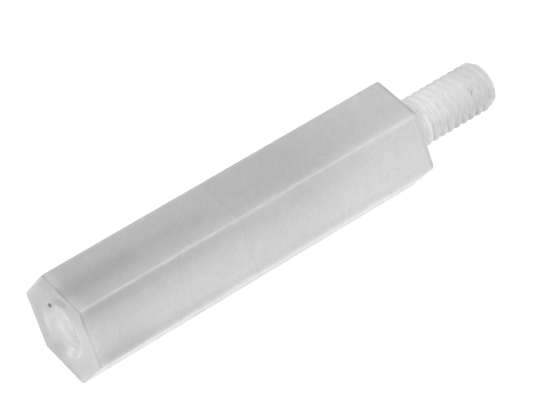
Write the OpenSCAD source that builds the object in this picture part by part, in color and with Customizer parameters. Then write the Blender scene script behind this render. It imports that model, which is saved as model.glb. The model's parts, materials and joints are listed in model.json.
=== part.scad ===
/* [Hexagonal body] */
// Distance across the flats of the hexagon
across_flats = 5.5; // [5:0.5:8]
// Length of the hexagon, from the socket face to the stud's shoulder
body_length = 22; // [14:1:50]
// Radius along the six long edges
edge_radius = 0.25; // [0.05:0.05:0.5]
// Radius round the rim of the socket face
socket_rim_radius = 0.1; // [0.05:0.05:0.4]
// Radius round the rim of the shoulder
shoulder_rim_radius = 0.28; // [0.06:0.02:0.5]

/* [Thread sizes] */
// Nominal diameter of the thread, the same in the socket and on the stud
thread_diameter = 3; // [2:0.5:3.5]
// Pitch of the thread
thread_pitch = 0.5; // [0.35:0.05:0.6]
// How much smaller the moulded stud is over its crests than the nominal diameter
stud_allowance = 0.16; // [0:0.02:0.3]
// How much larger the socket is inside its crests than the basic minor diameter
socket_allowance = 0.04; // [0:0.02:0.2]

/* [Socket] */
// Depth of the socket's straight wall, from the socket face
socket_depth = 9.5; // [5:0.5:12]
// Full angle of the cone that ends the socket
socket_end_angle = 118; // [90:1:150]
// How much wider the mouth is than the nominal thread diameter
mouth_clearance = 0.2; // [0:0.05:0.6]
// Full angle of the mouth's lead-in
mouth_angle = 90; // [60:5:120]

/* [Stud] */
// Length of the stud, from the shoulder to its tip
stud_length = 6; // [3:0.5:12]
// How far the stud's tapered tip comes in from the crests on each side
tip_inset = 0.25; // [0.1:0.05:0.5]
// Full angle of the stud's tapered tip
tip_angle = 65; // [50:5:120]

/* [Hidden] */
natural_nylon = [0.9, 0.9, 0.88];
$fn = 64;
// How far a cut runs past the face it opens
overrun = 1;
// Basic minor diameter of a 60 degree thread, as 5/8 of its triangle on each side
basic_minor_diameter = thread_diameter - 2 * (5 / 8) * thread_pitch * sin(60);
socket_diameter = basic_minor_diameter + socket_allowance;
mouth_diameter = thread_diameter + mouth_clearance;
stud_diameter = thread_diameter - stud_allowance;
tip_diameter = stud_diameter - 2 * tip_inset;
across_corners = across_flats / cos(30);

// Depth of a cone between two diameters, from its full angle
function cone_depth(wide, narrow, full_angle) = (wide - narrow) / 2 / tan(full_angle / 2);

// Turns what is built along +Z so that it runs along +X from the socket face
module along_axis(from = 0) {
    translate([from, 0, 0]) rotate([90, 0, 90]) children();
}

// A hexagon standing on a flat, with an arc of the given radius at each corner
module rounded_hexagon(flats, radius) {
    core_flats = flats - 2 * radius;
    core_corner = core_flats / 2 / cos(30);
    circle(r = core_corner, $fn = 6);
    for (turn = [0 : 60 : 120])
        rotate(turn) square([core_corner, flats], center = true);
    for (turn = [0 : 60 : 300])
        rotate(turn) translate([core_corner, 0]) circle(r = radius);
}

// The side of one pair of flats: a bar whose four corners are round
module flat_pair_outline() {
    half = across_flats / 2;
    translate([socket_rim_radius, -half])
        square([body_length - socket_rim_radius - shoulder_rim_radius, across_flats]);
    translate([0, -half + socket_rim_radius])
        square([body_length / 2, across_flats - 2 * socket_rim_radius]);
    translate([body_length / 2, -half + shoulder_rim_radius])
        square([body_length / 2, across_flats - 2 * shoulder_rim_radius]);
    for (side = [-1, 1]) {
        translate([socket_rim_radius, side * (half - socket_rim_radius)])
            circle(r = socket_rim_radius);
        translate([body_length - shoulder_rim_radius, side * (half - shoulder_rim_radius)])
            circle(r = shoulder_rim_radius);
    }
}

// The hexagon: three pairs of flats that cross, inside an outline with round corners
module hexagonal_body() {
    intersection() {
        along_axis() linear_extrude(body_length) rounded_hexagon(across_flats, edge_radius);
        intersection_for (turn = [0 : 60 : 120])
            rotate([turn, 0, 0]) rotate([90, 0, 0])
                linear_extrude(across_corners + overrun, center = true) flat_pair_outline();
    }
}

// The blind hole for the thread, with its lead-in and its conical end
module socket_cut() {
    mouth_depth = cone_depth(mouth_diameter, socket_diameter, mouth_angle);
    end_depth = cone_depth(socket_diameter, 0, socket_end_angle);
    along_axis(-overrun) cylinder(d = socket_diameter, h = socket_depth + overrun);
    along_axis() cylinder(d1 = mouth_diameter, d2 = socket_diameter, h = mouth_depth);
    along_axis(-overrun) cylinder(d = mouth_diameter, h = overrun);
    along_axis(socket_depth) cylinder(d1 = socket_diameter, d2 = 0, h = end_depth);
}

// Half the side view of the stud, straight up to its tapered tip
module stud_outline() {
    radius = stud_diameter / 2;
    straight = stud_length - cone_depth(stud_diameter, tip_diameter, tip_angle);
    polygon([[0, -overrun], [radius, -overrun], [radius, straight],
             [tip_diameter / 2, stud_length], [0, stud_length]]);
}

// The stud, turned from its outline and sunk a little into the body
module stud() {
    along_axis(body_length) rotate_extrude() stud_outline();
}

// The whole standoff, moulded in one piece
module standoff() {
    color(natural_nylon) difference() {
        union() {
            hexagonal_body();
            stud();
        }
        socket_cut();
    }
}

standoff();
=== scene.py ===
"""Dressed model of a hexagonal standoff moulded in natural nylon.

The standoff lies along +X on one of its flats, as its solid does. It is modelled in
millimetres and brought to metres at the end: a hexagonal body with soft edges, a stud
and a blind socket with their helical threads, and the faint witness line of the mould.
"""

import json
import logging
import math
from collections.abc import Callable
from dataclasses import dataclass, field
from enum import Enum

import bmesh
import bpy
from mathutils import Matrix, Vector

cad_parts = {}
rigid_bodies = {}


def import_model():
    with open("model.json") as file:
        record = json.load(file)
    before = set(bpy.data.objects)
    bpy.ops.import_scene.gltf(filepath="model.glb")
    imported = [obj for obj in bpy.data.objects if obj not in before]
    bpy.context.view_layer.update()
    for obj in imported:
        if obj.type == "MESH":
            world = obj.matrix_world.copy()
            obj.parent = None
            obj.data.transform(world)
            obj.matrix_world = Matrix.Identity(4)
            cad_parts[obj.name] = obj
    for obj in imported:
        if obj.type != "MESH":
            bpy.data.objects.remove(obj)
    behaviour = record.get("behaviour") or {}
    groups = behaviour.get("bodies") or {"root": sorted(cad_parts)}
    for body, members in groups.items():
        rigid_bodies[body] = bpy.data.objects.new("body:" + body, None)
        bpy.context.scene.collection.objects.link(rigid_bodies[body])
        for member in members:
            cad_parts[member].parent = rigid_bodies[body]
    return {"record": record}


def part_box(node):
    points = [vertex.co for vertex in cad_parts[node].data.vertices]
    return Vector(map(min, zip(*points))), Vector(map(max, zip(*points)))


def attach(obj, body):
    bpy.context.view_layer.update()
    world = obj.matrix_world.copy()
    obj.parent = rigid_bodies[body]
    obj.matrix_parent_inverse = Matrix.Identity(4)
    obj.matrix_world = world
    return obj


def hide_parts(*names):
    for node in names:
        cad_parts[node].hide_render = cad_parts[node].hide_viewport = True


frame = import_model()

LOG = logging.getLogger("standoff")
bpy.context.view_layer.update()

# Millimetres are modelled, metres are handed over.
MILLIMETRE = 0.001
# Two vertices closer than this, in millimetres, are one.
SAME_PLACE = 1e-4
QUARTER_TURN = math.radians(90.0)
# Half the angle that one side of a hexagon takes up.
HALF_SIDE_ANGLE = math.radians(30.0)


class Join(Enum):
    """What an exact Boolean does with its tool."""

    ADD = "UNION"
    CUT = "DIFFERENCE"
    TRIM = "INTERSECT"


class Side(Enum):
    """Which side of a cutting plane is thrown away."""

    BEFORE = "before"
    AFTER = "after"


# ---- Modelling moves ----


def deselect_all() -> None:
    """Leaves object mode and deselects every object."""
    if bpy.context.object is not None and bpy.context.object.mode != "OBJECT":
        bpy.ops.object.mode_set(mode="OBJECT")
    bpy.ops.object.select_all(action="DESELECT")


def pick(piece: bpy.types.Object) -> None:
    """Makes one object the only selected and active one.

    Args:
        piece: The object to work on.
    """
    deselect_all()
    piece.select_set(True)
    bpy.context.view_layer.objects.active = piece


def new_piece(name: str) -> bpy.types.Object:
    """Names the primitive just added and puts its place into its mesh.

    Args:
        name: Name for the object and its mesh.

    Returns:
        The named object, at the origin, unturned and unscaled.
    """
    piece = bpy.context.object
    piece.name = name
    piece.data.name = name
    pick(piece)
    bpy.ops.object.transform_apply(location=True, rotation=True, scale=True)
    return piece


def edit(piece: bpy.types.Object) -> None:
    """Opens a mesh for editing with nothing selected.

    Args:
        piece: The object to edit.
    """
    pick(piece)
    bpy.ops.object.mode_set(mode="EDIT")
    bpy.ops.mesh.select_mode(type="VERT")
    bpy.ops.mesh.select_all(action="DESELECT")


def done() -> None:
    """Closes the mesh being edited."""
    bpy.ops.object.mode_set(mode="OBJECT")


def select_everything() -> None:
    """Selects the whole of the mesh being edited."""
    bpy.ops.mesh.select_all(action="SELECT")


def merge_doubles() -> None:
    """Merges the vertices of the mesh being edited that stand in the same place."""
    select_everything()
    bpy.ops.mesh.remove_doubles(threshold=SAME_PLACE)


def close_outwards() -> None:
    """Turns every face of the mesh being edited outwards and closes the mesh."""
    select_everything()
    bpy.ops.mesh.normals_make_consistent(inside=False)
    done()


def select_edges(piece: bpy.types.Object, test: Callable[[Vector, Vector], bool]) -> None:
    """Selects the edges of the mesh being edited whose two ends pass a test.

    Args:
        piece: The object being edited.
        test: Says whether an edge between two places is wanted.
    """
    bpy.ops.mesh.select_all(action="DESELECT")
    bpy.ops.mesh.select_mode(type="EDGE")
    mesh = bmesh.from_edit_mesh(piece.data)
    for edge in mesh.edges:
        if test(edge.verts[0].co, edge.verts[1].co):
            edge.select_set(True)
    bmesh.update_edit_mesh(piece.data)


def select_points(piece: bpy.types.Object, test: Callable[[Vector], bool]) -> None:
    """Selects the vertices of the mesh being edited that pass a test.

    Args:
        piece: The object being edited.
        test: Says whether a vertex at a place is wanted.
    """
    bpy.ops.mesh.select_all(action="DESELECT")
    bpy.ops.mesh.select_mode(type="VERT")
    mesh = bmesh.from_edit_mesh(piece.data)
    for point in mesh.verts:
        if test(point.co):
            point.select_set(True)
    mesh.select_flush(True)
    bmesh.update_edit_mesh(piece.data)


def cut_across(x: float, drop: Side | None = None) -> None:
    """Cuts the mesh being edited with a plane square to the axis.

    Args:
        x: Where the plane stands along the axis.
        drop: The side thrown away, with the cut closed by a face. None keeps both sides.
    """
    select_everything()
    bpy.ops.mesh.bisect(
        plane_co=(x, 0.0, 0.0),
        plane_no=(1.0, 0.0, 0.0),
        use_fill=drop is not None,
        clear_inner=drop is Side.BEFORE,
        clear_outer=drop is Side.AFTER,
        threshold=SAME_PLACE,
    )


def scale_about_axis(factor: float, x: float) -> None:
    """Scales what is selected towards the axis.

    Args:
        factor: Share of the distance from the axis that is kept.
        x: Place along the axis.
    """
    bpy.ops.transform.resize(value=(1.0, factor, factor), center_override=(x, 0.0, 0.0))


def apply_modifier(piece: bpy.types.Object, modifier: bpy.types.Modifier) -> None:
    """Applies a modifier, so that the mesh holds its result.

    Args:
        piece: The object that carries the modifier.
        modifier: The modifier to apply.
    """
    pick(piece)
    bpy.ops.object.modifier_apply(modifier=modifier.name)


def join_solids(piece: bpy.types.Object, tool: bpy.types.Object, how: Join) -> None:
    """Joins, cuts or trims one closed solid with another, which is used up.

    Args:
        piece: The solid that changes.
        tool: The solid it is joined with or cut by.
        how: What the tool does.
    """
    boolean = piece.modifiers.new("Boolean", "BOOLEAN")
    boolean.operation = how.value
    boolean.solver = "EXACT"
    boolean.object = tool
    apply_modifier(piece, boolean)
    bpy.data.objects.remove(tool)


def tidy_mesh(piece: bpy.types.Object) -> None:
    """Merges doubled vertices and turns every face outwards.

    Args:
        piece: The closed solid to tidy.
    """
    edit(piece)
    merge_doubles()
    close_outwards()


# ---- Sizes ----


@dataclass(frozen=True)
class FrameSizes:
    """Main sizes of the standoff in millimetres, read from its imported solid."""

    across_flats: float
    across_corners: float
    body_length: float
    tip_x: float
    stud_radius: float
    stud_straight: float
    socket_radius: float
    socket_end_x: float

    @classmethod
    def from_frame(cls, record: dict) -> "FrameSizes":
        """Reads the sizes from the solid's box and its mounts.

        Args:
            record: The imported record.

        Returns:
            The sizes in millimetres.
        """
        low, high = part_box("standoff")
        mounts = {mount["name"]: mount for mount in record["mounts"]}
        stud = mounts["stud"]
        socket = mounts["socket"]
        across_flats = (high.z - low.z) / MILLIMETRE
        socket_start = socket["pos_m"][0] / MILLIMETRE
        return cls(
            across_flats=across_flats,
            across_corners=across_flats / math.cos(HALF_SIDE_ANGLE),
            body_length=stud["pos_m"][0] / MILLIMETRE,
            tip_x=high.x / MILLIMETRE,
            stud_radius=stud["dims"]["r_mm"],
            stud_straight=stud["dims"]["length_mm"],
            socket_radius=socket["dims"]["r_mm"],
            socket_end_x=socket_start + socket["dims"]["length_mm"],
        )


@dataclass(frozen=True)
class ThreadForm:
    """Shape of one turn of a 60 degree thread, in millimetres."""

    pitch: float
    crest_radius: float
    root_radius: float
    crest_flat: float
    corner_round: float
    flank_angle: float = math.radians(30.0)

    @property
    def depth(self) -> float:
        """How far the groove's floor lies below the crest."""
        return self.crest_radius - self.root_radius

    @property
    def flank_run(self) -> float:
        """How far one flank runs along the axis."""
        return self.depth * math.tan(self.flank_angle)

    @property
    def root_flat(self) -> float:
        """Width of the groove's floor."""
        return self.pitch - self.crest_flat - 2.0 * self.flank_run

    def steps(self) -> list[tuple[float, float]]:
        """Steps along and away from the axis that draw one turn from its root.

        Returns:
            Pairs of a step along the axis and a step away from it.
        """
        return [
            (self.root_flat / 2.0, 0.0),
            (self.flank_run, self.depth),
            (self.crest_flat, 0.0),
            (self.flank_run, -self.depth),
            (self.root_flat / 2.0, 0.0),
        ]


# ---- Sub-assemblies ----


@dataclass
class ThreadedRod:
    """A closed rod with a right-handed helical thread, square at both ends."""

    name: str
    form: ThreadForm
    start_x: float
    end_x: float
    turn: float = 0.0
    facets: int = 96
    corner_facets: int = 2
    lead_turns: float = 2.0
    spare_turns: int = 4

    @property
    def outline_x(self) -> float:
        """Where the outline of the first turn starts, some turns before the rod."""
        return self.start_x - self.lead_turns * self.form.pitch

    @property
    def crest_phase(self) -> float:
        """Turns of the helix from the origin to a crest, level with the axis on the +Y side."""
        outline_middle = self.outline_x / self.form.pitch + 0.5
        return outline_middle - (QUARTER_TURN - self.turn) / math.tau

    def build(self) -> bpy.types.Object:
        """Draws one turn's outline, screws it along the axis and closes the ends.

        Returns:
            The rod.
        """
        rod = self._outline()
        self._screw(rod)
        self._close_ends(rod)
        return rod

    def _outline(self) -> bpy.types.Object:
        """Draws one turn's outline as a line of edges, extruded from one point.

        Returns:
            The outline.
        """
        form = self.form
        deselect_all()
        bpy.ops.mesh.primitive_plane_add(
            size=form.pitch, location=(self.outline_x, 0.0, form.root_radius)
        )
        rod = new_piece(self.name)
        edit(rod)
        select_everything()
        bpy.ops.mesh.merge(type="CENTER")
        for forward, away in form.steps():
            bpy.ops.mesh.extrude_vertices_move(
                TRANSFORM_OT_translate={"value": (forward, 0.0, away)}
            )
        low = self.outline_x
        high = low + form.pitch
        select_points(rod, lambda at: low + SAME_PLACE < at.x < high - SAME_PLACE)
        bpy.ops.mesh.bevel(
            affect="VERTICES", offset=form.corner_round, segments=self.corner_facets
        )
        select_everything()
        bpy.ops.transform.rotate(
            value=self.turn, orient_axis="X", center_override=(0.0, 0.0, 0.0)
        )
        done()
        return rod

    def _screw(self, rod: bpy.types.Object) -> None:
        """Screws the outline along the axis, past both ends.

        Args:
            rod: The outline, which becomes a helical surface.
        """
        turns = math.ceil((self.end_x - self.start_x) / self.form.pitch)
        screw = rod.modifiers.new("Screw", "SCREW")
        screw.axis = "X"
        screw.angle = math.tau
        screw.screw_offset = self.form.pitch
        screw.iterations = turns + self.spare_turns
        screw.steps = self.facets
        screw.render_steps = self.facets
        screw.use_merge_vertices = True
        screw.merge_threshold = SAME_PLACE
        apply_modifier(rod, screw)

    def _close_ends(self, rod: bpy.types.Object) -> None:
        """Cuts both ends square and closes them.

        Args:
            rod: The helical surface, which becomes a closed solid.
        """
        edit(rod)
        merge_doubles()
        cut_across(self.start_x, drop=Side.BEFORE)
        cut_across(self.end_x, drop=Side.AFTER)
        close_outwards()


@dataclass
class TurnedBlank:
    """A round bar along the axis whose far end tapers, as from a lathe.

    With a lead length its near end tapers too, down to the start radius.
    """

    name: str
    radius: float
    start_x: float
    taper_x: float
    end_x: float
    end_radius: float
    end_round: float = 0.0
    lead: float = 0.0
    start_radius: float = 0.0
    facets: int = 96
    round_facets: int = 3

    def build(self) -> bpy.types.Object:
        """Adds the bar, cuts a ring where the taper starts and draws its end in.

        Returns:
            The blank, a closed solid.
        """
        deselect_all()
        bpy.ops.mesh.primitive_cylinder_add(
            vertices=self.facets,
            radius=self.radius,
            depth=self.end_x - self.start_x,
            location=((self.start_x + self.end_x) / 2.0, 0.0, 0.0),
            rotation=(0.0, QUARTER_TURN, 0.0),
        )
        blank = new_piece(self.name)
        edit(blank)
        cut_across(self.taper_x)
        select_points(blank, lambda at: at.x > self.end_x - SAME_PLACE)
        if self.end_radius > 0.0:
            scale_about_axis(self.end_radius / self.radius, self.end_x)
        else:
            bpy.ops.mesh.merge(type="CENTER")
        if self.lead > 0.0:
            cut_across(self.start_x + self.lead)
            select_points(blank, lambda at: at.x < self.start_x + SAME_PLACE)
            scale_about_axis(self.start_radius / self.radius, self.start_x)
        if self.end_round > 0.0:
            select_edges(blank, self._is_end_ring)
            bpy.ops.mesh.bevel(
                offset=self.end_round, segments=self.round_facets, affect="EDGES"
            )
        close_outwards()
        return blank

    def _is_end_ring(self, a: Vector, b: Vector) -> bool:
        """Says whether an edge is on the ring at the far end."""
        return min(a.x, b.x) > self.end_x - SAME_PLACE


@dataclass
class HexagonalBody:
    """The six-sided body, with its soft edges and the mould's witness line."""

    sizes: FrameSizes
    edge_radius: float = 0.25
    socket_rim_radius: float = 0.10
    shoulder_rim_radius: float = 0.28
    round_facets: int = 5
    witness_x: float = 10.03
    witness_width: float = 0.10
    witness_depth: float = 0.012

    def build(self) -> bpy.types.Object:
        """Adds the hexagon, rounds its edges and presses the witness line into it.

        Returns:
            The body, a closed solid.
        """
        length = self.sizes.body_length
        deselect_all()
        bpy.ops.mesh.primitive_cylinder_add(
            vertices=6,
            radius=self.sizes.across_corners / 2.0,
            depth=length,
            location=(length / 2.0, 0.0, 0.0),
            rotation=(0.0, QUARTER_TURN, 0.0),
        )
        body = new_piece("hexagonal_body")
        self._round_edges(body)
        self._press_witness_line(body)
        return body

    def _round_edges(self, body: bpy.types.Object) -> None:
        """Rounds the long edges and both rims, each with its own radius.

        Args:
            body: The plain hexagon.
        """
        length = self.sizes.body_length
        widest = self.shoulder_rim_radius
        long_edge_offset = self.edge_radius * math.tan(HALF_SIDE_ANGLE)
        edit(body)
        select_edges(body, lambda a, b: abs(a.x - b.x) > SAME_PLACE)
        bpy.ops.transform.edge_bevelweight(value=long_edge_offset / widest)
        select_edges(body, lambda a, b: max(a.x, b.x) < SAME_PLACE)
        bpy.ops.transform.edge_bevelweight(value=self.socket_rim_radius / widest)
        select_edges(body, lambda a, b: min(a.x, b.x) > length - SAME_PLACE)
        bpy.ops.transform.edge_bevelweight(value=1.0)
        done()
        bevel = body.modifiers.new("Soft edges", "BEVEL")
        bevel.limit_method = "WEIGHT"
        bevel.width = widest
        bevel.segments = self.round_facets
        apply_modifier(body, bevel)

    def _press_witness_line(self, body: bpy.types.Object) -> None:
        """Presses a shallow groove round the body where the mould's halves met.

        Args:
            body: The rounded hexagon.
        """
        half = self.witness_width / 2.0
        edit(body)
        for x in (self.witness_x - half, self.witness_x + half, self.witness_x):
            cut_across(x)
        select_points(body, lambda at: abs(at.x - self.witness_x) < SAME_PLACE)
        kept = 1.0 - 2.0 * self.witness_depth / self.sizes.across_flats
        scale_about_axis(kept, self.witness_x)
        done()


@dataclass
class ThreadedStud:
    """The threaded stud, with its tapered tip."""

    sizes: FrameSizes
    pitch: float = 0.5
    crest_flat: float = 0.06
    depth: float = 0.29
    corner_round: float = 0.025
    tip_radius: float = 1.17
    tip_round: float = 0.05
    collar_length: float = 0.7
    collar_step: float = 0.02
    run_out: float = 0.7
    blank_allowance: float = 0.05
    sunk: float = 1.0
    overrun: float = 1.0
    turn: float = math.radians(-45.0)

    @property
    def rod(self) -> ThreadedRod:
        """The threaded rod that the stud is made from.

        Returns:
            The rod, not yet built, whose start is sunk into the body.
        """
        crest_radius = self.sizes.stud_radius
        form = ThreadForm(
            pitch=self.pitch,
            crest_radius=crest_radius,
            root_radius=crest_radius - self.depth,
            crest_flat=self.crest_flat,
            corner_round=self.corner_round,
        )
        start_x = self.sizes.body_length - self.sunk
        return ThreadedRod("stud", form, start_x, self.sizes.tip_x + self.overrun, self.turn)

    def build(self) -> bpy.types.Object:
        """Screws the thread and trims it to the outline of the tapered blank.

        Returns:
            The stud, a closed solid whose root is sunk into the body.
        """
        sizes = self.sizes
        root_x = self.rod.start_x
        stud = self.rod.build()
        straight_x = sizes.body_length + sizes.stud_straight
        slope = (sizes.tip_x - straight_x) / (sizes.stud_radius - self.tip_radius)
        blank = TurnedBlank(
            name="stud_blank",
            radius=sizes.stud_radius + self.blank_allowance,
            start_x=root_x - self.overrun,
            taper_x=straight_x - slope * self.blank_allowance,
            end_x=sizes.tip_x,
            end_radius=self.tip_radius,
            end_round=self.tip_round,
        ).build()
        join_solids(stud, self._collar(), Join.ADD)
        join_solids(stud, blank, Join.TRIM)
        tidy_mesh(stud)
        return stud

    def _collar(self) -> bpy.types.Object:
        """Makes the collar that fills the grooves by the shoulder.

        Returns:
            The collar, a closed solid.
        """
        form = self.rod.form
        taper_x = self.sizes.body_length + self.collar_length
        return TurnedBlank(
            name="stud_collar",
            radius=form.crest_radius - self.collar_step,
            start_x=self.rod.start_x,
            taper_x=taper_x,
            end_x=taper_x + self.run_out,
            end_radius=form.root_radius - self.collar_step,
        ).build()


@dataclass
class ThreadedSocket:
    """The blind socket: a drilled hole, its lead-in and the thread cut in it."""

    sizes: FrameSizes
    pitch: float = 0.5
    thread_start: float = 0.35
    thread_lead: float = 1.25
    thread_depth: float = 5.0
    thread_height: float = 0.24
    crest_flat: float = 0.12
    corner_round: float = 0.04
    mouth_radius: float = 1.6
    end_angle: float = math.radians(118.0)
    under_drill: float = 0.05
    run_out: float = 0.6
    overrun: float = 1.0
    tap_start: float = -1.5
    turn: float = math.radians(202.0)

    def build_cutter(self) -> bpy.types.Object:
        """Joins the drill, the countersink and the tap into one cutter.

        Returns:
            The cutter, a closed solid that is taken out of the body.
        """
        cutter = self._drill()
        join_solids(cutter, self._countersink(), Join.ADD)
        join_solids(cutter, self._tap(), Join.ADD)
        tidy_mesh(cutter)
        return cutter

    def _drill(self) -> bpy.types.Object:
        """Makes the drill, which ends in a cone.

        Returns:
            The drill, a closed solid.
        """
        cone_depth = self.sizes.socket_radius / math.tan(self.end_angle / 2.0)
        return TurnedBlank(
            name="socket_cutter",
            radius=self.sizes.socket_radius,
            start_x=-self.overrun,
            taper_x=self.sizes.socket_end_x,
            end_x=self.sizes.socket_end_x + cone_depth,
            end_radius=0.0,
        ).build()

    def _countersink(self) -> bpy.types.Object:
        """Makes the lead-in's cone, which ends inside the drill.

        Returns:
            The countersink, a closed solid.
        """
        end_radius = self.sizes.socket_radius - self.under_drill
        return TurnedBlank(
            name="countersink",
            radius=self.mouth_radius,
            start_x=-2.0 * self.overrun,
            taper_x=0.0,
            end_x=self.mouth_radius - end_radius,
            end_radius=end_radius,
        ).build()

    def _tap(self) -> bpy.types.Object:
        """Makes the tap, whose first and last turns taper away.

        Returns:
            The tap, a closed solid.
        """
        form = ThreadForm(
            pitch=self.pitch,
            crest_radius=self.sizes.socket_radius + self.thread_height,
            root_radius=self.sizes.socket_radius - self.under_drill,
            crest_flat=self.crest_flat,
            corner_round=self.corner_round,
        )
        end_x = self.thread_depth + self.overrun
        tap = ThreadedRod("tap", form, self.tap_start, end_x, self.turn).build()
        blank = TurnedBlank(
            name="tap_blank",
            radius=form.crest_radius + self.under_drill,
            start_x=self.thread_start,
            taper_x=self.thread_depth - self.run_out,
            end_x=self.thread_depth,
            end_radius=form.root_radius - self.under_drill,
            lead=self.thread_lead,
            start_radius=form.root_radius,
        ).build()
        join_solids(tap, blank, Join.TRIM)
        return tap


# ---- Finish ----


Socket = bpy.types.NodeSocket
Triple = tuple[float, float, float]


@dataclass
class NodeSheet:
    """A material's nodes, which work out a shade from the place on the piece."""

    material: bpy.types.Material

    def add(self, kind: str) -> bpy.types.Node:
        """Adds one node."""
        return self.material.node_tree.nodes.new(kind)

    def feed(self, source: Socket | float, target: Socket) -> None:
        """Joins a socket to another, or sets a number on it.

        Args:
            source: What is fed.
            target: The socket that takes it.
        """
        if isinstance(source, Socket):
            self.material.node_tree.links.new(source, target)
        else:
            target.default_value = source

    def math(self, operation: str, *values: Socket | float) -> Socket:
        """Works out one sum.

        Args:
            operation: Name of the sum.
            values: What goes into it.

        Returns:
            The result.
        """
        node = self.add("ShaderNodeMath")
        node.operation = operation
        for value, target in zip(values, node.inputs):
            self.feed(value, target)
        return node.outputs[0]

    def scaled(self, place: Socket, scale: float) -> Socket:
        """Multiplies a place by one number.

        Args:
            place: The place.
            scale: What it is multiplied by.

        Returns:
            The scaled place.
        """
        node = self.add("ShaderNodeVectorMath")
        node.operation = "SCALE"
        self.feed(place, node.inputs[0])
        node.inputs["Scale"].default_value = scale
        return node.outputs[0]

    def local(self, place: Socket, middle: Triple, turn: Triple, size: Triple) -> Socket:
        """Gives a place as a patch sees it: from its middle, along its sides, in its sizes.

        Args:
            place: The place.
            middle: Middle of the patch.
            turn: How the patch is turned about X, Y and Z.
            size: Half of its length, width and thickness.

        Returns:
            The place, at a distance of 1 on the patch's edge.
        """
        node = self.add("ShaderNodeMapping")
        node.vector_type = "TEXTURE"
        self.feed(place, node.inputs["Vector"])
        node.inputs["Location"].default_value = middle
        node.inputs["Rotation"].default_value = turn
        node.inputs["Scale"].default_value = size
        return node.outputs[0]

    def length(self, place: Socket) -> Socket:
        """Measures how far a place is from zero.

        Args:
            place: The place.

        Returns:
            The distance.
        """
        node = self.add("ShaderNodeVectorMath")
        node.operation = "LENGTH"
        self.feed(place, node.inputs[0])
        return node.outputs["Value"]

    def noise(self, place: Socket, scale: float, detail: float) -> Socket:
        """Makes a cloudy pattern about zero.

        Args:
            place: The place.
            scale: How fine the pattern is.
            detail: How many finer layers it has.

        Returns:
            A value that is zero on average.
        """
        node = self.add("ShaderNodeTexNoise")
        node.inputs["Scale"].default_value = scale
        node.inputs["Detail"].default_value = detail
        self.feed(place, node.inputs["Vector"])
        return self.math("SUBTRACT", node.outputs["Fac"], 0.5)

    def rise(self, value: Socket, gone: float, full: float) -> Socket:
        """Turns a value smoothly into 0 at one limit and 1 at the other.

        Args:
            value: What is watched.
            gone: Value at which the result is 0.
            full: Value at which the result is 1.

        Returns:
            The result.
        """
        node = self.add("ShaderNodeMapRange")
        node.interpolation_type = "SMOOTHSTEP"
        rising = gone < full
        self.feed(value, node.inputs["Value"])
        node.inputs["From Min"].default_value = min(gone, full)
        node.inputs["From Max"].default_value = max(gone, full)
        node.inputs["To Min"].default_value = 0.0 if rising else 1.0
        node.inputs["To Max"].default_value = 1.0 if rising else 0.0
        return node.outputs["Result"]

    def shaded(self, tone: Socket | float, mask: Socket, change: float, label: str) -> Socket:
        """Changes a value by a share of itself where a mask is 1.

        Args:
            tone: The value so far.
            mask: Where it changes.
            change: Share that is added, or taken away if it is negative.
            label: What the node says it does.

        Returns:
            The new value.
        """
        factor = self.math("MULTIPLY_ADD", mask, change, 1.0)
        factor.node.label = label
        return self.math("MULTIPLY", tone, factor)


class Measure(Enum):
    """A distance on the standoff that a shade can follow."""

    ALONG = "from the socket's mouth along the axis"
    ACROSS = "level and square to the axis"
    HEIGHT = "above the axis"
    LEVEL = "above or below the axis"
    RADIUS = "away from the axis"
    FLANK = "turns of the stud's thread from the flank that faces the shoulder"

    def limit(self, gone: float, full: float) -> "Fade":
        """Makes a soft limit, at which a shade goes from gone to full."""
        return Fade(self, gone, full)


@dataclass(frozen=True)
class Fade:
    """A soft limit, gone at one distance and full at another, in millimetres or turns."""

    measure: Measure
    gone: float
    full: float


along = Measure.ALONG.limit
across = Measure.ACROSS.limit
height = Measure.HEIGHT.limit
level = Measure.LEVEL.limit
radius = Measure.RADIUS.limit
flank = Measure.FLANK.limit


@dataclass(frozen=True)
class Shade:
    """A soft patch of painted light or painted shade, or of the nylon's own tone such as the
    witness line.
    """

    name: str
    change: float
    fades: tuple[Fade, ...]


def shades_within(region: tuple[Fade, ...], *rows: tuple) -> list[Shade]:
    """Makes the shades that lie in one region.

    Args:
        region: The limits that they share.
        rows: For each shade its name, its change and its own limits.

    Returns:
        The shades.
    """
    return [Shade(name, change, (*region, *fades)) for name, change, *fades in rows]


@dataclass(frozen=True)
class Mark:
    """An oval patch, in millimetres and degrees: a speck, nick or smear, or a small painted shade.
    """

    name: str
    place: Triple
    size: Triple
    change: float
    turn: Triple = (0.0, 0.0, 0.0)
    core: float = 0.3


@dataclass(frozen=True)
class Mottle:
    """A cloudy pattern in the nylon, with the size of its clouds in millimetres."""

    name: str
    size: Triple
    change: float
    turn: float = 0.0
    detail: float = 1.0


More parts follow.
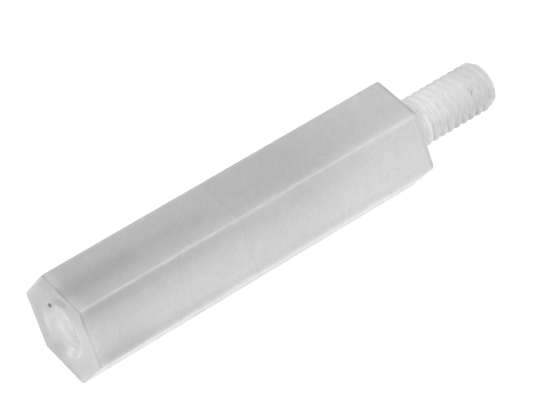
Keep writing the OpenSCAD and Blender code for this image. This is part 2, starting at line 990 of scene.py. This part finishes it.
@dataclass(frozen=True)
class NylonShades:
    """Painted light and shade on the nylon, as the lamps fall and its wall lets light through, and
    its marks.

    The fields are the limits that several regions or shades share.
    """

    sizes: FrameSizes
    behind_end_face: Fade = along(0.0, 0.04)
    on_end_face: Fade = along(0.12, 0.04)
    outside_mouth: Fade = radius(1.58, 1.66)
    inside_mouth: Fade = radius(1.66, 1.58)
    outside_stud: Fade = radius(2.0, 2.2)
    on_stud: Fade = radius(1.50, 1.43)
    over_thread: Fade = along(4.75, 4.0)
    past_thread: Fade = along(4.0, 4.75)
    shoulder_rim: Fade = along(21.55, 21.85)
    socket_rim: Fade = along(0.20, 0.08)
    by_edge: Fade = level(2.0, 2.5)
    on_edge: Fade = level(2.58, 2.68)
    on_thread: Fade = along(22.9, 23.4)
    on_flank: Fade = flank(0.32, 0.08)
    on_front: Fade = across(-0.15, -0.6)
    below_flat: float = 0.07
    on_flat: float = 0.01
    by_shoulder: float = 0.02

    @property
    def socket(self) -> tuple[Fade, ...]:
        """Limits to the inside of the socket."""
        length = self.sizes.body_length
        return (self.inside_mouth, along(length, length / 2.0))

    @property
    def stud(self) -> tuple[Fade, ...]:
        """Limits to the stud.

        Returns:
            The limits.
        """
        shoulder = self.sizes.body_length
        past_it = along(shoulder - self.by_shoulder, shoulder + self.by_shoulder)
        return (self.on_stud, past_it)

    def all(self) -> list[Shade]:
        """Gathers every shade.

        Returns:
            The shades, in the order in which they are laid over one another.
        """
        return [
            *self._lengthwise(),
            *self._flats(),
            *self._sides(),
            *self._end_face(),
            *self._socket(),
            *self._stud(),
        ]

    def _lengthwise(self) -> list[Shade]:
        """Paints light and shade along the body: light by the solid shoulder, shade by the hole.

        Returns:
            The shades.
        """
        on_rim = (radius(2.2, 2.3), self.socket_rim, along(0.0, 0.05))
        return [
            *shades_within(
                (self.outside_mouth,),
                # Painted light by the solid shoulder and just behind the socket rim, painted shade
                # by the socket and on both rims; the witness line is the mould's own mark,
                # slightly lighter before it.
                ("shoulder end", 0.145, along(13.5, 20.5)),
                ("socket end", -0.035, along(6.0, 0.0)),
                ("before the witness line", 0.016, along(4.5, 9.5), along(10.06, 10.0)),
                ("witness line", -0.03, along(9.95, 10.0), along(10.14, 10.06)),
                ("by the shoulder rim", -0.03, along(20.9, 21.4)),
                ("shoulder rim", -0.25, self.shoulder_rim),
                ("by the socket rim", 0.035, along(0.9, 0.0)),
            ),
            Shade("socket rim", -0.05, on_rim),
        ]

    def _flats(self) -> list[Shade]:
        """Paints shade on the flats, darkest over the middle of the socket, and a little light by
        the near edge.

        Returns:
            The shades.
        """
        top = self.sizes.across_flats / 2.0
        on_flats = level(top - self.below_flat, top - self.on_flat)
        middle = (across(-1.07, -0.12), across(0.83, -0.12))
        return [
            *shades_within(
                (on_flats, self.behind_end_face),
                # Painted shade where the socket's thread and bore show through the wall, and by
                # the far edge; painted light by the near edge.
                ("over the thread", -0.13, *middle, self.over_thread),
                ("over the bore", -0.07, *middle, self.past_thread, along(10.0, 7.5)),
                ("far edge", -0.05, across(1.1, 1.5)),
                ("near edge", 0.03, across(-0.9, -1.5)),
            ),
            Shade("flat's socket rim", -0.08, (level(2.6, 2.7), along(0.20, 0.10))),
        ]

    def _sides(self) -> list[Shade]:
        """Paints light and shade on the slanting sides and along their upper and lower edges.

        Returns:
            The shades.
        """
        top = self.sizes.across_flats / 2.0
        off_flats = level(top - self.on_flat, top - self.below_flat)
        return shades_within(
            (off_flats, self.behind_end_face, self.outside_stud),
            # Painted shade towards the flats, over the socket, by the shoulder and on the rims; a
            # little painted light towards the middle corner.
            ("sides", -0.015),
            ("by the flats", -0.145, level(1.0, 2.6)),
            ("by the corners", 0.024, level(1.9, 0.3)),
            ("edge over the thread", -0.13, self.by_edge, self.over_thread),
            ("edge over the bore", -0.09, self.by_edge, self.past_thread, along(11.0, 7.0)),
            ("corner over the thread", -0.106, level(1.3, 0.35), along(4.75, 1.5)),
            ("corner over the bore", -0.078, level(0.6, 0.25), along(10.0, 4.5)),
            # The rounded edge: painted shade, with a painted highlight near the shoulder.
            ("rounded edge", -0.02, self.on_edge),
            ("edge by the shoulder", 0.05, self.on_edge, along(17.0, 20.5)),
            ("edge before the shoulder", -0.06, level(2.55, 2.68), along(12.5, 14.5)),
            ("corner by the shoulder", -0.09, level(2.4, 0.9), along(15.5, 20.5)),
            ("side's shoulder rim", -0.10, self.shoulder_rim),
            ("side's socket rim", -0.08, self.socket_rim),
            # Painted shade just above the middle corner; below it, painted light where the lower
            # side faces the pale floor.
            ("above the corner", -0.035, height(0.5, 0.3), height(-0.05, 0.1), along(3.0, 6.0)),
            ("below the corner", 0.12, height(-0.1, -0.3), along(8.0, 3.0)),
        )

    def _end_face(self) -> list[Shade]:
        """Paints shade on the face round the socket, most at its margins, and light next to the
        mouth.

        Returns:
            The shades.
        """
        return shades_within(
            (self.on_end_face, self.outside_mouth),
            ("end face", -0.09),
            ("upper margin", -0.13, height(1.6, 2.4)),
            ("far margin", -0.08, across(0.3, 1.3)),
            ("near margin", -0.08, across(-1.7, -2.6)),
            ("near the mouth", 0.09, across(-0.6, -1.2), height(-1.0, 0.0), height(2.2, 1.0)),
            ("bottom edge", -0.06, height(-2.2, -2.5)),
        )

    def _socket(self) -> list[Shade]:
        """Paints light on the socket's walls, for the light that comes through them, and light and
        shade on its lead-in.

        Returns:
            The shades.
        """
        return shades_within(
            self.socket,
            ("lead-in", 0.14, along(0.40, 0.20)),
            ("upper lead-in", -0.20, along(0.32, 0.14), height(-0.5, 0.6)),
            ("near lead-in", -0.22, along(0.60, 0.30), height(-0.6, -1.2), across(-0.1, -0.7)),
            ("lower lead-in", -0.04, along(0.30, 0.12), height(-0.9, -1.3)),
            # Painted light: the walls glow as if lit through the nylon.
            ("socket wall", 0.55, along(0.20, 0.58)),
        )

    def _stud(self) -> list[Shade]:
        """Paints light and shade on the stud: shade at its tip and underneath, light and shade
        that even out its ridges.

        Returns:
            The shades.
        """
        groove = (radius(1.36, 1.20), along(23.0, 23.4))
        upper_crest = (radius(1.29, 1.37), height(1.05, 0.35))
        return shades_within(
            self.stud,
            ("stud", 0.08),
            # Painted light by the root and on the first turns, where shade falls by the shoulder.
            ("root", 0.22, along(22.5, 22.1)),
            ("collar", 0.02, along(22.1, 22.4), along(22.9, 22.7)),
            ("run-out", 0.36, along(22.7, 23.0), along(23.5, 23.2)),
            # Painted shade towards the tip and on the near side, painted light on the far side.
            ("towards the tip", -0.19, along(22.5, 29.0)),
            ("tip", -0.16, along(26.0, 27.6)),
            ("far side", 0.25, across(-0.75, -0.25)),
            ("near side", -0.12, across(-0.9, -1.3)),
            # Painted shade underneath and on the tip's chamfer.
            ("underside", -0.125, height(0.8, -0.2)),
            ("tip underneath", -0.09, height(0.6, -0.7), along(23.0, 27.0)),
            ("crests underneath", -0.06, height(0.3, -0.4), radius(1.30, 1.40)),
            ("tip's chamfer", -0.25, along(27.35, 27.65)),
            # Painted light and shade over the ridges: light in the grooves and on the flanks,
            # shade on the lit crests and underneath.
            ("grooves", 0.09, *groove),
            ("crests", -0.05, radius(1.30, 1.38), along(23.0, 23.6)),
            ("grooves underneath", -0.14, *groove, height(-0.3, -0.9)),
            ("crests in the light", -0.19, *upper_crest, self.on_thread),
            ("flanks", 0.04, self.on_flank, self.on_front, self.on_thread),
            ("grooves in the light", 0.06, *groove, self.on_front, height(0.0, 0.5)),
            ("flanks underneath", 0.40, self.on_flank, height(0.5, -0.35), self.on_thread),
            # Painted shade along the lowest edge.
            ("lowest edge", -0.40, height(0.0, -0.7), along(23.3, 25.5)),
        )

    def marks(self) -> list[Mark]:
        """Lists the specks, ticks and nick that moulding and handling left, a smear, two darker
        patches and a painted shade above the mouth.

        Returns:
            The marks.
        """
        top = self.sizes.across_flats / 2.0
        return [
            Mark("mouth speck", (0.20, 1.25, 0.66), (0.13, 0.13, 0.42), -0.90, (12.0, -14.0, 0.0)),
            # Painted shade above the mouth, where the socket shows through the end face.
            Mark("mouth smear", (0.0, 0.08, 1.98), (0.3, 1.1, 0.36), -0.24, (-34.0, 0.0, 0.0)),
            Mark("end patch", (0.0, 0.3, -1.65), (0.3, 1.15, 0.65), -0.16, (-55.0, 0.0, 0.0)),
            Mark("rim patch", (0.05, 0.1, top), (0.30, 0.6, 0.2), -0.14),
            Mark("edge speck", (18.9, -3.05, 0.0), (0.14, 0.14, 0.14), -0.35),
            Mark("edge tick", (10.05, -3.05, 0.0), (0.10, 0.3, 0.3), -0.12),
            Mark("flat speck", (10.0, -0.15, top), (0.06, 0.2, 0.05), -0.10),
            Mark("flat smear", (8.3, -0.35, top), (0.5, 0.35, 0.1), -0.04),
            Mark(
                "stud nick", (26.53, -0.78, 0.82), (0.20, 0.07, 0.24), -0.30,
                (-21.5, -36.5, -96.0),
            ),
        ]


@dataclass
class NylonSheet(NodeSheet):
    """The nylon's nodes, with the place on the piece and the distances from it."""

    rod: ThreadedRod
    flank_foot: float = 0.85
    place: Socket = field(init=False)
    measures: dict[Measure, Socket] = field(init=False)

    def __post_init__(self) -> None:
        """Works out the place in millimetres and every distance that a shade can follow."""
        coordinates = self.add("ShaderNodeTexCoord").outputs["Object"]
        self.place = self.scaled(coordinates, 1.0 / MILLIMETRE)
        split = self.add("ShaderNodeSeparateXYZ")
        self.feed(self.place, split.inputs[0])
        x, y, z = split.outputs
        squares = self.math("MULTIPLY_ADD", z, z, self.math("MULTIPLY", y, y))
        from_flank = self._turns_from_flank(x, y, z)
        self.measures = {
            Measure.ALONG: x,
            Measure.ACROSS: y,
            Measure.HEIGHT: z,
            Measure.LEVEL: self.math("ABSOLUTE", z),
            Measure.RADIUS: self.math("SQRT", squares),
            Measure.FLANK: self.math("ABSOLUTE", from_flank),
        }

    def _turns_from_flank(self, x: Socket, y: Socket, z: Socket) -> Socket:
        """Counts the turns from the foot of the nearest flank that faces the shoulder.

        Args:
            x: Place along the axis.
            y: Place across it.
            z: Place above it.

        Returns:
            The turns, from minus a half to a half.
        """
        form = self.rod.form
        to_crest = form.crest_flat / 2.0 + self.flank_foot * form.flank_run
        foot_phase = self.rod.crest_phase - to_crest / form.pitch
        turns = self.math("DIVIDE", self.math("ARCTAN2", z, y), -math.tau)
        turns = self.math("MULTIPLY_ADD", x, 1.0 / form.pitch, turns)
        turns = self.math("SUBTRACT", turns, foot_phase)
        return self.math("WRAP", turns, 0.5, -0.5)

    def mask(self, fades: tuple[Fade, ...]) -> Socket:
        """Makes the mask of all that lies within every one of some soft limits.

        Args:
            fades: The limits.

        Returns:
            The mask.
        """
        mask = None
        for fade in fades:
            within = self.rise(self.measures[fade.measure], fade.gone, fade.full)
            mask = within if mask is None else self.math("MULTIPLY", mask, within)
        return mask


@dataclass(frozen=True)
class NaturalNylon:
    """Undyed moulded nylon: milky, slightly translucent, with a satin skin."""

    sizes: FrameSizes
    name: str = "moulded_nylon"
    body_tone: float = 0.62
    skin_roughness: float = 0.28
    thread_roughness: float = 0.85
    body_scatter: float = 1.2 * MILLIMETRE
    socket_scatter: float = 1.5 * MILLIMETRE
    stud_scatter: float = 5.5 * MILLIMETRE
    refraction: float = 1.53
    grain_scale: float = 0.9
    grain_detail: float = 3.0
    grain_height: float = 0.004 * MILLIMETRE
    mottles: tuple[Mottle, ...] = (
        Mottle("clouds", (0.7, 0.7, 0.7), 0.085, detail=2.0),
        Mottle("fine clouds", (0.20, 0.20, 0.20), 0.13, detail=2.0),
        Mottle("streaks", (0.6, 0.12, 0.3), 0.10, turn=35.0),
    )

    def material(self) -> bpy.types.Material:
        """Builds the material's nodes.

        Returns:
            The material.
        """
        material = bpy.data.materials.new(self.name)
        material.use_nodes = True
        shader = material.node_tree.nodes["Principled BSDF"]
        shader.inputs["IOR"].default_value = self.refraction
        shader.inputs["Subsurface Weight"].default_value = 1.0
        shader.inputs["Subsurface Radius"].default_value = (1.0, 1.0, 1.0)
        sheet = NylonSheet(material, ThreadedStud(self.sizes).rod)
        shades = NylonShades(self.sizes)
        sheet.feed(self._tone(sheet, shades), shader.inputs["Base Color"])
        on_stud = sheet.mask(shades.stud)
        in_socket = sheet.mask(shades.socket)
        deeper = self.socket_scatter / self.body_scatter - 1.0
        scatter = sheet.shaded(self.body_scatter, in_socket, deeper, "socket scatter")
        deeper = self.stud_scatter / self.body_scatter - 1.0
        scatter = sheet.shaded(scatter, on_stud, deeper, "stud scatter")
        sheet.feed(scatter, shader.inputs["Subsurface Scale"])
        rougher = self.thread_roughness / self.skin_roughness - 1.0
        roughness = sheet.shaded(self.skin_roughness, on_stud, rougher, "thread roughness")
        sheet.feed(roughness, shader.inputs["Roughness"])
        sheet.feed(self._skin(sheet), shader.inputs["Normal"])
        return material

    def _tone(self, sheet: NylonSheet, shades: NylonShades) -> Socket:
        """Works out how light the nylon is at each place, with painted light and shade, marks and
        clouds.

        Args:
            sheet: The material's nodes.
            shades: The patches of painted light and shade, and the marks.

        Returns:
            The tone.
        """
        tone = self.body_tone
        for shade in shades.all():
            tone = sheet.shaded(tone, sheet.mask(shade.fades), shade.change, shade.name)
        for mark in shades.marks():
            turn = tuple(math.radians(angle) for angle in mark.turn)
            reach = sheet.length(sheet.local(sheet.place, mark.place, turn, mark.size))
            mask = sheet.rise(reach, 1.0, mark.core)
            tone = sheet.shaded(tone, mask, mark.change, mark.name)
        for mottle in self.mottles:
            turn = (0.0, 0.0, math.radians(mottle.turn))
            seen = sheet.local(sheet.place, (0.0, 0.0, 0.0), turn, mottle.size)
            clouds = sheet.noise(seen, 1.0, mottle.detail)
            tone = sheet.shaded(tone, clouds, mottle.change, mottle.name)
        return tone

    def _skin(self, sheet: NylonSheet) -> Socket:
        """Roughens the skin a little.

        Args:
            sheet: The material's nodes.

        Returns:
            The surface normal.
        """
        bump = sheet.add("ShaderNodeBump")
        bump.inputs["Distance"].default_value = self.grain_height
        grain = sheet.noise(sheet.place, self.grain_scale, self.grain_detail)
        sheet.feed(grain, bump.inputs["Height"])
        return bump.outputs["Normal"]


# ---- The standoff ----


@dataclass
class Standoff:
    """The whole standoff, moulded in one piece."""

    sizes: FrameSizes
    smooth_angle: float = math.radians(35.0)
    face_weight: int = 100

    def build(self) -> bpy.types.Object:
        """Joins the body and the stud, cuts the socket and dresses the result.

        Returns:
            The dressed standoff in metres.
        """
        piece = HexagonalBody(self.sizes).build()
        LOG.info("body: %d faces", len(piece.data.polygons))
        stud = ThreadedStud(self.sizes).build()
        LOG.info("stud: %d faces", len(stud.data.polygons))
        cutter = ThreadedSocket(self.sizes).build_cutter()
        LOG.info("socket: %d faces", len(cutter.data.polygons))
        join_solids(piece, stud, Join.ADD)
        join_solids(piece, cutter, Join.CUT)
        tidy_mesh(piece)
        self._to_metres(piece)
        self._smooth(piece)
        piece.name = "moulded_standoff"
        piece.data.name = "moulded_standoff"
        piece.data.materials.clear()
        piece.data.materials.append(NaturalNylon(self.sizes).material())
        return piece

    def _to_metres(self, piece: bpy.types.Object) -> None:
        """Scales the mesh from millimetres to metres.

        Args:
            piece: The standoff in millimetres.
        """
        edit(piece)
        select_everything()
        bpy.ops.transform.resize(value=(MILLIMETRE,) * 3, center_override=(0.0, 0.0, 0.0))
        done()

    def _smooth(self, piece: bpy.types.Object) -> None:
        """Shades round forms smooth and keeps the flats flat.

        Args:
            piece: The standoff.
        """
        pick(piece)
        bpy.ops.object.shade_smooth_by_angle(angle=self.smooth_angle)
        weighted = piece.modifiers.new("Flat flats", "WEIGHTED_NORMAL")
        weighted.keep_sharp = True
        weighted.weight = self.face_weight
        apply_modifier(piece, weighted)


# ---- Studio ----


def from_angles(heading: float, elevation: float) -> Vector:
    """Finds a direction from its angles.

    Args:
        heading: Angle round the vertical from +X, in radians.
        elevation: Angle above the floor, in radians.

    Returns:
        The direction, of length 1.
    """
    flat = math.cos(elevation)
    return Vector((flat * math.cos(heading), flat * math.sin(heading), math.sin(elevation)))


@dataclass(frozen=True)
class SoftLamp:
    """A square lamp that faces the standoff."""

    name: str
    heading: float
    elevation: float
    power: float
    size: float = 200.0
    away: float = 300.0

    def hang(self, middle: Vector) -> None:
        """Hangs the lamp.

        Args:
            middle: The point that it faces, in metres.
        """
        direction = from_angles(math.radians(self.heading), math.radians(self.elevation))
        lamp = bpy.data.lights.new(self.name, "AREA")
        lamp.shape = "SQUARE"
        lamp.size = self.size * MILLIMETRE
        lamp.energy = self.power
        holder = bpy.data.objects.new(self.name, lamp)
        holder.location = middle + direction * self.away * MILLIMETRE
        holder.rotation_euler = (-direction).to_track_quat("-Z", "Y").to_euler()
        bpy.context.scene.collection.objects.link(holder)


SOFT_LAMPS = (
    SoftLamp("front_lamp", heading=-142.0, elevation=40.0, power=0.50, size=60.0),
    SoftLamp("right_lamp", heading=-32.0, elevation=8.0, power=0.72),
    SoftLamp("left_lamp", heading=110.0, elevation=8.0, power=0.86),
    SoftLamp("high_lamp", heading=-60.0, elevation=35.0, power=0.12),
    SoftLamp("edge_lamp", heading=-41.0, elevation=55.0, power=0.04, size=90.0),
)


@dataclass
class Studio:
    """A pale floor, soft lamps and the camera."""

    sizes: FrameSizes
    floor_half: float = 600.0
    floor_tone: float = 0.75
    floor_roughness: float = 0.9
    floor_glow: float = 0.65
    world_strength: float = 0.13
    camera_aim: Triple = (13.326, 0.288, 0.0)
    camera_distance: float = 149.014
    camera_heading: float = math.radians(-129.434)
    camera_elevation: float = math.radians(47.438)
    camera_roll: float = math.radians(0.738)
    camera_lens: float = 194.07
    film_width: float = 36.0
    nearest: float = 10.0
    farthest: float = 10000.0

    def build(self) -> None:
        """Sets up the floor, the light and the camera."""
        self._floor()
        self._world()
        middle = Vector((self.sizes.tip_x / 2.0 * MILLIMETRE, 0.0, 0.0))
        for lamp in SOFT_LAMPS:
            lamp.hang(middle)
        self._camera()

    def _floor(self) -> None:
        """Adds the floor that the standoff lies on."""
        deselect_all()
        bpy.ops.mesh.primitive_plane_add(
            size=2.0 * self.floor_half * MILLIMETRE,
            location=(0.0, 0.0, -self.sizes.across_flats / 2.0 * MILLIMETRE),
        )
        floor = new_piece("floor")
        material = bpy.data.materials.new("pale_floor")
        material.use_nodes = True
        shader = material.node_tree.nodes["Principled BSDF"]
        shader.inputs["Base Color"].default_value = (*(self.floor_tone,) * 3, 1.0)
        shader.inputs["Roughness"].default_value = self.floor_roughness
        shader.inputs["Specular IOR Level"].default_value = 0.0
        shader.inputs["Emission Color"].default_value = (1.0, 1.0, 1.0, 1.0)
        sheet = NodeSheet(material)
        rays = sheet.add("ShaderNodeLightPath").outputs
        seen = sheet.math("MAXIMUM", rays["Is Camera Ray"], rays["Is Glossy Ray"])
        seen = sheet.math("MAXIMUM", seen, rays["Is Transmission Ray"])
        glow = sheet.math("MULTIPLY", seen, self.floor_glow)
        sheet.feed(glow, shader.inputs["Emission Strength"])
        floor.data.materials.append(material)

    def _world(self) -> None:
        """Lights the scene evenly from all round."""
        world = bpy.data.worlds.new("studio")
        world.use_nodes = True
        back = world.node_tree.nodes["Background"]
        back.inputs["Color"].default_value = (1.0, 1.0, 1.0, 1.0)
        back.inputs["Strength"].default_value = self.world_strength
        bpy.context.scene.world = world

    def _camera(self) -> None:
        """Places the camera by its aim, distance, heading, elevation and roll."""
        direction = from_angles(self.camera_heading, self.camera_elevation)
        lens = bpy.data.cameras.new("camera")
        lens.sensor_fit = "HORIZONTAL"
        lens.sensor_width = self.film_width
        lens.lens = self.camera_lens
        lens.clip_start = self.nearest * MILLIMETRE
        lens.clip_end = self.farthest * MILLIMETRE
        camera = bpy.data.objects.new("camera", lens)
        aim = Vector(self.camera_aim) * MILLIMETRE
        camera.location = aim + direction * self.camera_distance * MILLIMETRE
        upright = (-direction).to_track_quat("-Z", "Y").to_matrix()
        rolled = upright @ Matrix.Rotation(self.camera_roll, 3, "Z")
        camera.rotation_euler = rolled.to_euler()
        bpy.context.scene.collection.objects.link(camera)
        bpy.context.scene.camera = camera


def set_look() -> None:
    """Uses the plain view transform, at which a colour shows as it is written."""
    bpy.context.scene.view_settings.view_transform = "Standard"


def main() -> None:
    """Builds the standoff and its studio, and says what each piece rides on."""
    logging.basicConfig(level=logging.INFO, format="%(name)s: %(message)s")
    set_look()
    sizes = FrameSizes.from_frame(frame["record"])
    standoff = Standoff(sizes).build()
    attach(standoff, "root")
    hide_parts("standoff")
    LOG.info("%s: %d faces", standoff.name, len(standoff.data.polygons))
    Studio(sizes).build()


if __name__ == "__main__":
    main()
